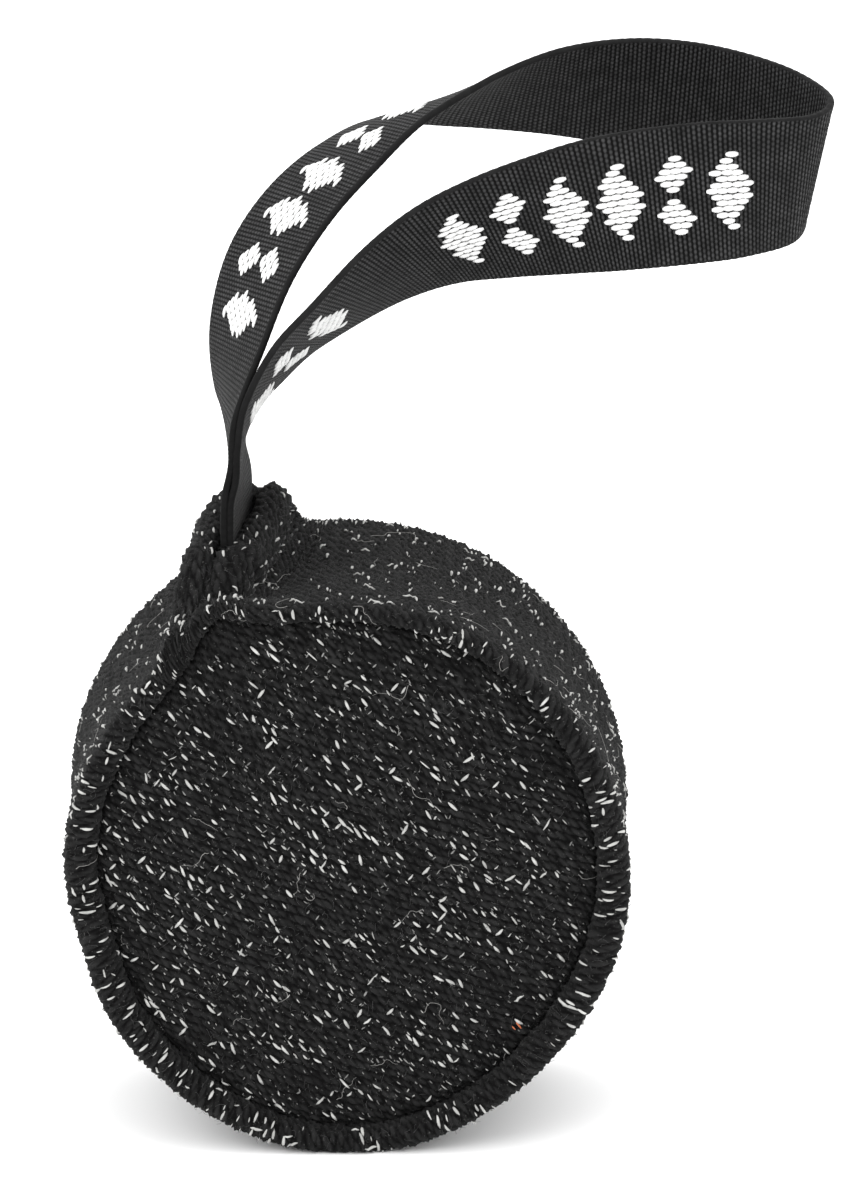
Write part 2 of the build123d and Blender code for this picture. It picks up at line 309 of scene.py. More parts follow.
def panel_point(u, v, side):
    """A point of a round panel from its place on the flat cloth, u to the right and v up from
    the axis: a dome, then a quarter ellipse that turns down into the crease."""
    radius = np.hypot(u, v)
    angle = np.arctan2(v, u)
    edge = seam_at(angle, side) - SEAM_GAP
    flat_edge = edge - PANEL_TUCK
    turn = np.clip((radius - flat_edge) / TUCK_CLOTH, 0.0, 1.0) * math.pi / 2
    r = np.minimum(radius, flat_edge) + PANEL_TUCK * np.sin(turn)
    share = np.minimum(radius / flat_edge, 1.0)
    dome = PANEL_EDGE_Y + (DOME_Y - PANEL_EDGE_Y) * (1.0 - share**2.4)
    lumps = 0.35 * waves(u, v, 34.0, 21 + side) + 0.16 * waves(u, v, 13.0, 31 + side)
    depth = dome + lumps * (1.0 - share**6) - TUCK_DEPTH * (1.0 - np.cos(turn))
    return np.stack([r * np.cos(angle), side * depth, r * np.sin(angle)], axis=-1)


def lip_height(p):
    """Share of the lip's full height along its line, from the front rim to the rear rim."""
    front = 0.34 + 0.66 * smoothstep(-34.0, -16.0, p)
    return front - 0.94 * smoothstep(20.0, 37.0, p) + 0.1 * bump(p - 16.0, 8.0)


def band_point(s, t):
    """A point of the band from its place on the flat cloth: s runs round the drum from the slot,
    rising to the right, and t runs from the front seam to the rear one. Across the band the
    cloth goes up out of the crease, round the rolled rim, over a slight waist and down the other
    side. Near the slot it leaves the drum and follows the lip's path, scaled to the lip's height."""
    half = BAND_CLOTH / 2
    side = np.where(t < half, -1.0, 1.0)
    edge = np.minimum(t, BAND_CLOTH - t)
    roll_turn = np.clip((edge - TAIL_CLOTH) / ROLL_CLOTH, 0.0, 1.0) * math.pi
    inwards = np.clip(edge - TAIL_CLOTH - ROLL_CLOTH, 0.0, RIM_FRONT_Y)
    in_lip = np.clip(np.abs(s) / LIP_CLOTH, 0.0, 1.0)
    sign = np.sign(s)
    height = np.clip(np.cos(s / DRUM_RADIUS), 0.0, 1.0)
    turn = s * 2 * math.pi / RING_CLOTH
    ring_u, ring_v = DRUM_RADIUS * np.cos(turn) + t, DRUM_RADIUS * np.sin(turn) - t
    bulge = RIM_BULGE * (1.0 - 0.65 * height**2)
    bulge = bulge + 0.35 * waves(ring_u, ring_v, 9.0, 12) + 0.3 * waves(ring_u, ring_v, 23.0, 13)
    y = side * (CREASE_Y + np.minimum(edge, TAIL_CLOTH) + bulge * np.sin(roll_turn) - inwards)
    q_flat = sign * np.where(np.abs(s) < LIP_CLOTH, in_lip * LIP_FLAT, np.abs(s) - LIP_CLOTH + LIP_FLAT)
    p = y / math.cos(math.atan(SLANT))
    shift = SLANT * y * bump(q_flat, 60.0)
    angle = ROOT_ANGLE - (q_flat + shift) / DRUM_RADIUS
    outer = rim_radius(angle) + front_pull(angle, y)
    seam = seam_radius(angle) + front_pull(angle, y)
    roll = (outer - seam) / 2
    waist = WAIST * np.sin(math.pi * np.clip(inwards / RIM_FRONT_Y, 0, 1) / 2) ** 2
    r = seam + roll * (1.0 - np.cos(roll_turn)) - waist
    x = r * np.cos(angle)
    z = r * np.sin(angle)
    share = lip_height(p) * smoothstep(0.2, 1.0, roll_turn / math.pi)
    path = even_steps(curve_through(LIP_PATH, 12), 200, 2)
    reach = np.linspace(0.0, 1.0, len(path))
    path_q = np.interp(in_lip, reach, path[:, 0])
    path_h = np.interp(in_lip, reach, path[:, 1])
    slot = smoothstep(SLOT_REACH + 3.0, SLOT_REACH, np.abs(p))
    fullness = 1.0 + 0.06 * smoothstep(-5.0, 20.0, p) + 0.08 * np.sin(p / 4.3)
    wall = np.maximum(path_q - LIP_SLOT, 0.0) * fullness
    q_lip = wall + np.minimum(path_q, LIP_SLOT) * (0.12 + 0.88 * slot)
    h_lip = path_h + (1.0 - slot) * np.clip(14.0 - path_h, 0.0, 6.0) * bump(path_q, 2.0)
    narrow = np.where(sign < 0, 0.18 * smoothstep(2.0, -14.0, p), 0.18 * smoothstep(-6.0, 6.0, p))
    q_lip = q_lip * (1.0 - narrow)
    line_x = FOLD[0] + SLANT * y
    root_z = np.sqrt(np.maximum((DRUM_RADIUS - 0.5) ** 2 - line_x**2, 1.0))
    lift = share * h_lip
    hold = smoothstep(0.0, 9.0, lift)
    x_lip = line_x + sign * q_lip * 1.04
    inside = np.where(np.abs(s) < LIP_CLOTH, 1.0, 0.0)
    x = x + (x_lip - x) * hold * inside
    z = z + (root_z - z) * hold * inside + lift * inside
    return np.stack([x, y, z], axis=-1)


def yarn_relief(u, v):
    """Height of the tweed's yarns from 0 to 1. u runs along the rows and v across them. Each row
    is a rope of leaning lobes, shifted from row to row, that dips under the crossing yarns."""
    row = np.floor(v / ROW_PITCH + 0.5)
    across = v / ROW_PITCH - row
    along = (u + across * ROW_PITCH * PLY_LEAN) / LOBE_PITCH + row_shift(row)
    lobe = np.abs(np.cos(math.pi * along)) ** 0.8
    rope = np.sqrt(np.clip(np.cos(math.pi * across), 0.0, 1.0))
    dip = 0.5 + 0.5 * np.cos(math.pi * (u / (1.5 * LOBE_PITCH) + row))
    return rope * (0.12 + 0.66 * lobe + 0.22 * dip)


def row_shift(row):
    """How far a row's lobes are shifted along it, in lobes."""
    return 0.37 * row + 0.2 * np.sin(1.7 * row)


def turned(u, v, turn):
    """The same place in axes turned by an angle."""
    return u * math.cos(turn) + v * math.sin(turn), v * math.cos(turn) - u * math.sin(turn)


def cloth_height(u, v, turn, seed):
    """Height of the cloth's face above its middle, in millimetres: the yarns, with their
    thickness wandering a little, on small lumps."""
    a, b = turned(u, v, turn)
    b = b + 0.30 * waves(u, v, 14.0, seed) + 0.12 * waves(u, v, 4.0, seed + 4)
    a = a + 0.45 * waves(u, v, 9.0, seed + 1)
    thick = 1.0 + 0.38 * waves(u, v, 4.4, seed + 2)
    fine = 0.12 * waves(u, v, 2.6, seed + 3) + 0.09 * waves(u, v, 1.5, seed + 5)
    return YARN_HEIGHT * yarn_relief(a, b) * thick + fine


def lifted(surface, u, v, height):
    """Points of a surface moved out along its normal, found from the cross product of the
    surface's slopes, and the normals."""
    nudge = 0.06
    along_u = surface(u + nudge, v) - surface(u - nudge, v)
    along_v = surface(u, v + nudge) - surface(u, v - nudge)
    normal = unit(np.cross(along_u, along_v))
    return surface(u, v) + normal * np.asarray(height)[..., None], normal


def settle(points):
    """Lifts the drum's points to the frame's height and presses the underside onto the floor:
    a height under nothing becomes a small one, on a smooth curve."""
    out = points.copy()
    z = points[..., 2] + AXIS_HEIGHT
    out[..., 2] = 0.5 * (z + np.sqrt(z**2 + 0.25)) + FLOOR_GAP
    return out


def front_surface(u, v):
    """The front panel, u to the right and v up."""
    return panel_point(u, v, -1)


def rear_surface(u, v):
    """The rear panel, its u run the other way so that its normal points out."""
    return panel_point(-u, v, 1)


# ---------------------------------------------------------------- the strip's course

def strip_frames(count):
    """The strip's course, the sewn-in ends included, as count even stations: middle, direction
    along, direction across and outward direction."""
    first, last = np.array(COURSE[0]), np.array(COURSE[-1])
    drops = np.array([[0, 0, -TAIL_DEPTH, 0, 0, 0], [0, 0, -TAIL_DEPTH / 2, 0, 0, 0]])
    course = np.vstack([first + drops, COURSE, last + drops[::-1]])
    rows = even_steps(curve_through(course, 40), count)
    middle = rows[:, :3] + [0.0, 0.0, AXIS_HEIGHT]
    along = unit(np.gradient(middle, axis=0))
    across = unit(rows[:, 3:] - along * np.sum(rows[:, 3:] * along, axis=1, keepdims=True))
    return middle, along, across, np.cross(across, along)


def strip_length():
    """The length of the strip's middle line, the sewn-in ends included."""
    middle = strip_frames(2000)[0]
    return float(np.sum(np.linalg.norm(np.diff(middle, axis=0), axis=1)))


STRIP_LENGTH = strip_length()


# ---------------------------------------------------------------- finishes

def empty_material(name):
    """A material without nodes, its nodes and its links."""
    material = bpy.data.materials.new(name)
    material.use_nodes = True
    material.node_tree.nodes.clear()
    return material, material.node_tree.nodes, material.node_tree.links


def tweed_finish(name, dark, light):
    """Near-black fuzzy wool: painted shade, the dark colour in the valleys between the yarns and a
    slightly paler one on their crests, from the relief attribute, small pale hairs, a soft sheen and a
    felt of fine fibres."""
    material, nodes, links = empty_material(name)

    colour_frame = nodes.new("NodeFrame")
    colour_frame.label = "Yarn colour"
    hair_frame = nodes.new("NodeFrame")
    hair_frame.label = "Pale hairs"
    felt_frame = nodes.new("NodeFrame")
    felt_frame.label = "Felted surface"

    place = nodes.new("ShaderNodeTexCoord")
    place.label = "Place on the drum"
    relief = nodes.new("ShaderNodeAttribute")
    relief.label = "Height of the yarn"
    mottle = nodes.new("ShaderNodeTexNoise")
    mottle.label = "Uneven dye"
    depth = nodes.new("ShaderNodeMapRange")
    depth.label = "Painted shade, valley to crest"
    shade = nodes.new("ShaderNodeMath")
    shade.label = "Crest times dye"
    yarn = nodes.new("ShaderNodeMix")
    yarn.label = "Yarn, dark to pale"
    hair = nodes.new("ShaderNodeTexNoise")
    hair.label = "Stray pale hairs"
    hair_cut = nodes.new("ShaderNodeMapRange")
    hair_cut.label = "Only the brightest"
    speckled = nodes.new("ShaderNodeMix")
    speckled.label = "Hairs on the yarn"
    felt = nodes.new("ShaderNodeTexNoise")
    felt.label = "Fine fibres"
    clump = nodes.new("ShaderNodeTexNoise")
    clump.label = "Fibre clumps"
    pile = nodes.new("ShaderNodeMath")
    pile.label = "Fibres on clumps"
    rough = nodes.new("ShaderNodeBump")
    rough.label = "Felt relief"
    shader = nodes.new("ShaderNodeBsdfPrincipled")
    shader.label = "Wool"
    output = nodes.new("ShaderNodeOutputMaterial")
    output.label = "Cover cloth"

    for node, x, y in (
        (place, -1300, 0), (relief, -1080, 420), (mottle, -1080, 200), (depth, -860, 420),
        (shade, -660, 320), (yarn, -460, 320), (hair, -1080, -60), (hair_cut, -860, -60),
        (speckled, -240, 180), (felt, -860, -340), (clump, -860, -580), (pile, -640, -440),
        (rough, -420, -400), (shader, 0, 120), (output, 300, 120),
    ):
        node.location = (x, y)

    for node in (relief, mottle, depth, shade, yarn):
        node.parent = colour_frame
    for node in (hair, hair_cut, speckled):
        node.parent = hair_frame
    for node in (felt, clump, pile, rough):
        node.parent = felt_frame

    relief.attribute_name = "relief"
    mottle.inputs["Scale"].default_value = 160.0
    mottle.inputs["Detail"].default_value = 5.0
    # Painted shade: the yarn's height sets the colour, dark in the valleys between yarns and paler on
    # the crests, times the uneven dye.
    depth.inputs["From Min"].default_value = 0.25
    depth.inputs["From Max"].default_value = 0.90
    shade.operation = "MULTIPLY"
    yarn.data_type = "RGBA"
    yarn.inputs["A"].default_value = (*dark, 1.0)
    yarn.inputs["B"].default_value = (*light, 1.0)
    hair.inputs["Scale"].default_value = 1900.0
    hair.inputs["Detail"].default_value = 2.0
    hair.inputs["Distortion"].default_value = 1.2
    hair_cut.inputs["From Min"].default_value = 0.66
    hair_cut.inputs["From Max"].default_value = 0.78
    hair_cut.inputs["To Max"].default_value = 0.5
    speckled.data_type = "RGBA"
    speckled.inputs["B"].default_value = (0.22, 0.22, 0.21, 1.0)
    felt.inputs["Scale"].default_value = 4200.0
    felt.inputs["Detail"].default_value = 4.0
    felt.inputs["Distortion"].default_value = 0.8
    clump.inputs["Scale"].default_value = 1300.0
    clump.inputs["Detail"].default_value = 3.0
    pile.operation = "ADD"
    rough.inputs["Strength"].default_value = 0.75
    rough.inputs["Distance"].default_value = 0.35 * MM
    shader.inputs["Roughness"].default_value = 0.95
    shader.inputs["Specular IOR Level"].default_value = 0.12
    shader.inputs["Sheen Weight"].default_value = 0.03
    shader.inputs["Sheen Roughness"].default_value = 0.45
    shader.inputs["Sheen Tint"].default_value = (0.8, 0.8, 0.8, 1.0)

    links.new(place.outputs["Object"], mottle.inputs["Vector"])
    links.new(place.outputs["Object"], hair.inputs["Vector"])
    links.new(place.outputs["Object"], felt.inputs["Vector"])
    links.new(place.outputs["Object"], clump.inputs["Vector"])
    links.new(relief.outputs["Fac"], depth.inputs["Value"])
    links.new(depth.outputs["Result"], shade.inputs[0])
    links.new(mottle.outputs["Fac"], shade.inputs[1])
    links.new(shade.outputs["Value"], yarn.inputs["Factor"])
    links.new(hair.outputs["Fac"], hair_cut.inputs["Value"])
    links.new(hair_cut.outputs["Result"], speckled.inputs["Factor"])
    links.new(yarn.outputs["Result"], speckled.inputs["A"])
    links.new(speckled.outputs["Result"], shader.inputs["Base Color"])
    links.new(felt.outputs["Fac"], pile.inputs[0])
    links.new(clump.outputs["Fac"], pile.inputs[1])
    links.new(pile.outputs["Value"], rough.inputs["Height"])
    links.new(rough.outputs["Normal"], shader.inputs["Normal"])
    links.new(shader.outputs["BSDF"], output.inputs["Surface"])
    return material


def fibre_finish(name, low, high, roughness):
    """A spun fibre: a colour that wanders between two tones along and between strands, with a
    fine twist of relief."""
    material, nodes, links = empty_material(name)

    tone_frame = nodes.new("NodeFrame")
    tone_frame.label = "Strand tone"
    twist_frame = nodes.new("NodeFrame")
    twist_frame.label = "Spun relief"
    place = nodes.new("ShaderNodeTexCoord")
    place.label = "Place on the object"
    tone = nodes.new("ShaderNodeTexNoise")
    tone.label = "Strand to strand"
    mix = nodes.new("ShaderNodeMix")
    mix.label = "Dark to pale strand"
    twist = nodes.new("ShaderNodeTexNoise")
    twist.label = "Fibres of the strand"
    relief = nodes.new("ShaderNodeBump")
    relief.label = "Fibre relief"
    shader = nodes.new("ShaderNodeBsdfPrincipled")
    shader.label = "Spun fibre"
    output = nodes.new("ShaderNodeOutputMaterial")
    output.label = "Strand"

    for node, x, y in (
        (place, -900, 0), (tone, -680, 160), (mix, -440, 160), (twist, -680, -160),
        (relief, -440, -160), (shader, -180, 60), (output, 120, 60),
    ):
        node.location = (x, y)

    for node in (tone, mix):
        node.parent = tone_frame
    for node in (twist, relief):
        node.parent = twist_frame

    tone.inputs["Scale"].default_value = 420.0
    tone.inputs["Detail"].default_value = 3.0
    mix.data_type = "RGBA"
    mix.inputs["A"].default_value = (*low, 1.0)
    mix.inputs["B"].default_value = (*high, 1.0)
    twist.inputs["Scale"].default_value = 5200.0
    twist.inputs["Detail"].default_value = 2.0
    relief.inputs["Strength"].default_value = 0.5
    relief.inputs["Distance"].default_value = 0.1 * MM
    shader.inputs["Roughness"].default_value = roughness
    shader.inputs["Specular IOR Level"].default_value = 0.2
    shader.inputs["Sheen Weight"].default_value = 0.15

    links.new(place.outputs["Object"], tone.inputs["Vector"])
    links.new(place.outputs["Object"], twist.inputs["Vector"])
    links.new(tone.outputs["Fac"], mix.inputs["Factor"])
    links.new(mix.outputs["Result"], shader.inputs["Base Color"])
    links.new(twist.outputs["Fac"], relief.inputs["Height"])
    links.new(relief.outputs["Normal"], shader.inputs["Normal"])
    links.new(shader.outputs["BSDF"], output.inputs["Surface"])
    return material


def webbing_finish(name):
    """Black synthetic webbing: crosswise ribs broken into small bumps by the lengthwise yarns. Its
    colour holds painted shade, darker where the yarns cross and towards the lip. The UV map runs along
    and across the strip in metres."""
    material, nodes, links = empty_material(name)

    weave_frame = nodes.new("NodeFrame")
    weave_frame.label = "Plain weave"
    colour_frame = nodes.new("NodeFrame")
    colour_frame.label = "Yarn colour"

    strip = nodes.new("ShaderNodeUVMap")
    strip.label = "Along and across the strip"
    parts = nodes.new("ShaderNodeSeparateXYZ")
    parts.label = "Across, along"
    across = nodes.new("ShaderNodeMath")
    across.label = "Lengthwise yarns"
    along = nodes.new("ShaderNodeMath")
    along.label = "Crosswise ribs"
    across_wave = nodes.new("ShaderNodeMath")
    across_wave.label = "Yarn wave"
    small = nodes.new("ShaderNodeMath")
    small.label = "Half as strong"
    rib = nodes.new("ShaderNodeMath")
    rib.label = "Rounded ribs"
    along_wave = nodes.new("ShaderNodeMath")
    along_wave.label = "Rib wave"
    weave = nodes.new("ShaderNodeMath")
    weave.label = "Over and under"
    edge = nodes.new("ShaderNodeMath")
    edge.label = "Distance from the middle line"
    selvedge = nodes.new("ShaderNodeMapRange")
    selvedge.label = "Selvedge"
    plain = nodes.new("ShaderNodeMix")
    plain.label = "No ribs on the selvedge"
    fuzz = nodes.new("ShaderNodeTexNoise")
    fuzz.label = "Filaments"
    rough = nodes.new("ShaderNodeMath")
    rough.label = "Filaments on the weave"
    relief = nodes.new("ShaderNodeBump")
    relief.label = "Weave relief"
    tone = nodes.new("ShaderNodeMapRange")
    tone.label = "Painted shade, crossing to crest"
    wear = nodes.new("ShaderNodeTexNoise")
    wear.label = "Uneven shade"
    from_top = nodes.new("ShaderNodeMath")
    from_top.label = "Along, from the loop's far end"
    reach = nodes.new("ShaderNodeMath")
    reach.label = "Either way"
    root = nodes.new("ShaderNodeMapRange")
    root.label = "Darker towards the lip"
    painted_lip_shade = nodes.new("ShaderNodeMath")
    painted_lip_shade.label = "Painted shade at the lip"
    blend = nodes.new("ShaderNodeMath")
    blend.label = "Shade times crest"
    colour = nodes.new("ShaderNodeMix")
    colour.label = "Dark to pale yarn"
    shader = nodes.new("ShaderNodeBsdfPrincipled")
    shader.label = "Polyester yarn"
    output = nodes.new("ShaderNodeOutputMaterial")
    output.label = "Webbing"

    for node, x, y in (
        (strip, -1700, 100), (parts, -1500, 100), (across, -1300, 260), (along, -1300, 20),
        (across_wave, -1100, 260), (small, -1000, 400), (rib, -1000, -60), (along_wave, -1100, 20),
        (weave, -900, 140), (edge, -1300, -460), (selvedge, -900, -460), (plain, -780, -160),
        (fuzz, -1100, -220), (rough, -700, 60), (relief, -480, -80), (tone, -700, 320),
        (wear, -1100, -460), (from_top, -1300, -700), (reach, -1100, -700), (root, -900, -700),
        (painted_lip_shade, -700, -600), (blend, -480, 320), (colour, -260, 300), (shader, 0, 100),
        (output, 300, 100),
    ):
        node.location = (x, y)

    for node in (
        across, along, across_wave, along_wave, small, rib, weave,
        edge, selvedge, plain, fuzz, rough, relief,
    ):
        node.parent = weave_frame
    for node in (tone, wear, from_top, reach, root, painted_lip_shade, blend, colour):
        node.parent = colour_frame

    strip.uv_map = "weave"
    across.operation = "MULTIPLY"
    across.inputs[1].default_value = 2 * math.pi / (1.15 * MM)
    along.operation = "MULTIPLY"
    along.inputs[1].default_value = math.pi / (RIB_PITCH * MM)
    across_wave.operation = "SINE"
    along_wave.operation = "SINE"
    small.operation = "MULTIPLY"
    small.inputs[1].default_value = 0.32
    rib.operation = "ABSOLUTE"
    weave.operation = "MULTIPLY_ADD"
    edge.operation = "ABSOLUTE"
    selvedge.inputs["From Min"].default_value = (STRIP_WIDTH / 2 - 0.7) * MM
    selvedge.inputs["From Max"].default_value = (STRIP_WIDTH / 2 - 0.4) * MM
    plain.inputs["B"].default_value = 0.55
    fuzz.inputs["Scale"].default_value = 3000.0
    fuzz.inputs["Detail"].default_value = 3.0
    rough.operation = "MULTIPLY_ADD"
    rough.inputs[1].default_value = 0.35
    relief.inputs["Strength"].default_value = 0.9
    relief.inputs["Distance"].default_value = 0.3 * MM
    # Painted shade: the weave's height sets the colour, dark where the yarns cross under each other and
    # paler on the crests.
    tone.inputs["From Min"].default_value = 0.42
    tone.inputs["From Max"].default_value = 1.1
    wear.inputs["Scale"].default_value = 260.0
    wear.inputs["Detail"].default_value = 4.0
    # Painted shade: the strip grows darker over its last stretch before the lip, where it goes into the
    # cloth.
    from_top.operation = "SUBTRACT"
    from_top.inputs[1].default_value = STRIP_LENGTH / 2 * MM
    reach.operation = "ABSOLUTE"
    root.inputs["From Min"].default_value = (STRIP_LENGTH / 2 - TAIL_DEPTH - 42.0) * MM
    root.inputs["From Max"].default_value = (STRIP_LENGTH / 2 - TAIL_DEPTH - 12.0) * MM
    root.inputs["To Min"].default_value = 1.0
    root.inputs["To Max"].default_value = 0.35
    painted_lip_shade.operation = "MULTIPLY"
    blend.operation = "MULTIPLY"
    colour.data_type = "RGBA"
    colour.inputs["A"].default_value = (0.003, 0.003, 0.003, 1.0)
    colour.inputs["B"].default_value = (0.068, 0.068, 0.069, 1.0)
    shader.inputs["Roughness"].default_value = 0.62
    shader.inputs["Specular IOR Level"].default_value = 0.05
    shader.inputs["Sheen Weight"].default_value = 0.01

    links.new(strip.outputs["UV"], parts.inputs["Vector"])
    links.new(parts.outputs["X"], across.inputs[0])
    links.new(parts.outputs["Y"], along.inputs[0])
    links.new(across.outputs["Value"], across_wave.inputs[0])
    links.new(along.outputs["Value"], along_wave.inputs[0])
    links.new(across_wave.outputs["Value"], small.inputs[0])
    links.new(along_wave.outputs["Value"], rib.inputs[0])
    links.new(small.outputs["Value"], weave.inputs[0])
    links.new(along_wave.outputs["Value"], weave.inputs[1])
    links.new(rib.outputs["Value"], weave.inputs[2])
    links.new(strip.outputs["UV"], fuzz.inputs["Vector"])
    links.new(strip.outputs["UV"], wear.inputs["Vector"])
    links.new(parts.outputs["X"], edge.inputs[0])
    links.new(edge.outputs["Value"], selvedge.inputs["Value"])
    links.new(selvedge.outputs["Result"], plain.inputs["Factor"])
    links.new(weave.outputs["Value"], plain.inputs["A"])
    links.new(fuzz.outputs["Fac"], rough.inputs[0])
    links.new(plain.outputs["Result"], rough.inputs[2])
    links.new(rough.outputs["Value"], relief.inputs["Height"])
    links.new(plain.outputs["Result"], tone.inputs["Value"])
    links.new(tone.outputs["Result"], blend.inputs[0])
    links.new(parts.outputs["Y"], from_top.inputs[0])
    links.new(from_top.outputs["Value"], reach.inputs[0])
    links.new(reach.outputs["Value"], root.inputs["Value"])
    links.new(wear.outputs["Fac"], painted_lip_shade.inputs[0])
    links.new(root.outputs["Result"], painted_lip_shade.inputs[1])
    links.new(painted_lip_shade.outputs["Value"], blend.inputs[1])
    links.new(blend.outputs["Value"], colour.inputs["Factor"])
    links.new(colour.outputs["Result"], shader.inputs["Base Color"])
    links.new(relief.outputs["Normal"], shader.inputs["Normal"])
    links.new(shader.outputs["BSDF"], output.inputs["Surface"])
    return material


TWEED = tweed_finish("tweed", (0.001, 0.001, 0.001), (0.026, 0.026, 0.026))
FLECK = fibre_finish("white_fleck", (0.12, 0.12, 0.115), (0.62, 0.62, 0.60), 0.8)
SPECK = fibre_finish("grey_speck", (0.05, 0.05, 0.05), (0.30, 0.30, 0.29), 0.8)
RUST = fibre_finish("rust_fibre", (0.40, 0.09, 0.03), (0.70, 0.22, 0.09), 0.8)
HAIR = fibre_finish("loose_hair", (0.08, 0.08, 0.08), (0.45, 0.44, 0.42), 0.7)
FUZZ = fibre_finish("dark_fuzz", (0.01, 0.01, 0.01), (0.07, 0.07, 0.07), 0.8)
THREAD = fibre_finish("sewing_thread", (0.006, 0.006, 0.006), (0.03, 0.03, 0.03), 0.6)
WOVEN_WHITE = fibre_finish("woven_white", (0.50, 0.50, 0.50), (0.72, 0.72, 0.71), 0.7)
WEBBING = webbing_finish("webbing")
FOAM = fibre_finish("foam", (0.45, 0.43, 0.34), (0.62, 0.60, 0.50), 0.9)
WADDING = fibre_finish("wadding", (0.62, 0.61, 0.58), (0.85, 0.84, 0.82), 0.9)


# ---------------------------------------------------------------- cover pieces

def disc_square(count):
    """A count x count grid laid on the unit disc so that its cells keep their area: each ring of
    the square becomes a circle."""
    line = np.linspace(-1.0, 1.0, count)
    a, b = np.meshgrid(line, line, indexing="ij")
    wide = np.abs(a) > np.abs(b)
    radius = np.where(wide, a, b)
    safe = np.where(np.abs(radius) < 1e-12, 1.0, radius)
    ratio = np.where(wide, b, a) / safe * math.pi / 4
    angle = np.where(wide, ratio, math.pi / 2 - ratio)
    return radius * np.cos(angle), radius * np.sin(angle)


def rim_loop(count):
    """Numbers of a count x count grid's outer points, in order round it."""
    i = np.arange(count - 1)
    last = count - 1
    return np.concatenate([i, i * count + last, last * count + last - i, (last - i) * count])


def panel_piece(name, surface, turn, seed, count):
    """A round panel: the yarn relief on the domed cloth, closed behind by a few rings that run
    in from its turned edge to the middle."""
    u, v = disc_square(count)
    side = -1 if surface is front_surface else 1
    angle = np.arctan2(v, u if side < 0 else -u)
    edge = seam_at(angle, side) - SEAM_GAP
    cloth = edge - PANEL_TUCK + TUCK_CLOTH
    u, v = u * cloth, v * cloth
    height = cloth_height(u, v, turn, seed)
    fade = smoothstep(0.0, 2.5, cloth - np.hypot(u, v))
    points, _ = lifted(surface, u, v, height * fade)
    points = settle(points).reshape(-1, 3)
    rim = points[rim_loop(count)]
    middle = np.array([0.0, rim[:, 1].mean(), AXIS_HEIGHT])
    shares = np.array([0.93, 0.6, 0.25, 0.02])
    rings = middle + (rim - middle) * shares[:, None, None]
    faces = grid_faces(count, count)[:, ::-1]
    size = len(rim)
    first = count * count
    order = rim_loop(count)
    nexts = np.roll(np.arange(size), -1)
    back = [np.stack([order, order[nexts], first + nexts, first + np.arange(size)], axis=1)]
    for k in range(len(shares) - 1):
        a = first + k * size + np.arange(size)
        b = first + k * size + nexts
        back.append(np.stack([a, b, b + size, a + size], axis=1))
    pole = first + len(shares) * size
    last = first + (len(shares) - 1) * size
    pairs = np.arange(0, size, 2)
    next_pair = last + (pairs + 2) % size
    back.append(np.stack([last + pairs, last + pairs + 1, next_pair, 0 * pairs + pole], axis=1))
    all_points = np.vstack([points, rings.reshape(-1, 3), middle])
    relief = np.concatenate([(height / YARN_HEIGHT).ravel(), np.zeros(len(all_points) - first)])
    return add_piece(name, all_points, np.vstack([faces] + back), TWEED, {"relief": relief})


def band_columns(step):
    """Places round the band: even on the drum and on the lip's path."""
    count = int(RING_CLOTH / step)
    return (np.arange(count) + 0.5) / count * RING_CLOTH - RING_CLOTH / 2


def band_piece(name, step):
    """The band with its lip: yarn relief on the cloth from seam to seam, closed inside by a few
    rows under the cloth, so that the grid wraps both ways."""
    s = band_columns(step)
    rows = int(BAND_CLOTH / step)
    t = np.linspace(0.0, BAND_CLOTH, rows)
    s_grid, t_grid = np.meshgrid(s, t, indexing="ij")
    height = cloth_height(s_grid, t_grid, BAND_TURN, BAND_WEAVE)
    fade = smoothstep(0.0, 3.0, np.minimum(t_grid, BAND_CLOTH - t_grid))
    fade = fade * (0.25 + 0.75 * smoothstep(2.0, 6.0, np.abs(s_grid)))
    points, _ = lifted(band_point, s_grid, t_grid, height * fade)
    inner_t = BAND_CLOTH * np.array([0.93, 0.8, 0.62, 0.5, 0.38, 0.2, 0.07])
    s_in, t_in = np.meshgrid(s, inner_t, indexing="ij")
    inner = band_point(np.sign(s_in) * np.maximum(np.abs(s_in), LIP_CLOTH), t_in)
    scale = 1.0 - 2.2 / np.hypot(inner[..., 0], inner[..., 2])
    inner = inner * np.stack([scale, 0 * scale + 0.93, scale], axis=-1)
    everything = settle(np.concatenate([points, inner], axis=1))
    relief = np.concatenate([height / YARN_HEIGHT, np.zeros(inner.shape[:2])], axis=1)
    faces = grid_faces(*everything.shape[:2], wrap_rows=True, wrap_columns=True)[:, ::-1]
    return add_piece(name, everything.reshape(-1, 3), faces, TWEED, {"relief": relief})


PANEL_GRID = 271
BAND_STEP = 0.45
front_panel = panel_piece("front_panel_cloth", front_surface, PANEL_TURN, FRONT_WEAVE, PANEL_GRID)
rear_panel = panel_piece("rear_panel_cloth", rear_surface, PANEL_TURN, REAR_WEAVE, PANEL_GRID)
band = band_piece("side_band_cloth", BAND_STEP)
for piece, nodes in (
    (front_panel, ["front_panel"]), (rear_panel, ["rear_panel"]), (band, ["side_band", "band_ends"]),
):
    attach(piece, "bumper")
    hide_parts(*nodes)


# ---------------------------------------------------------------- flecks, hairs and fuzz

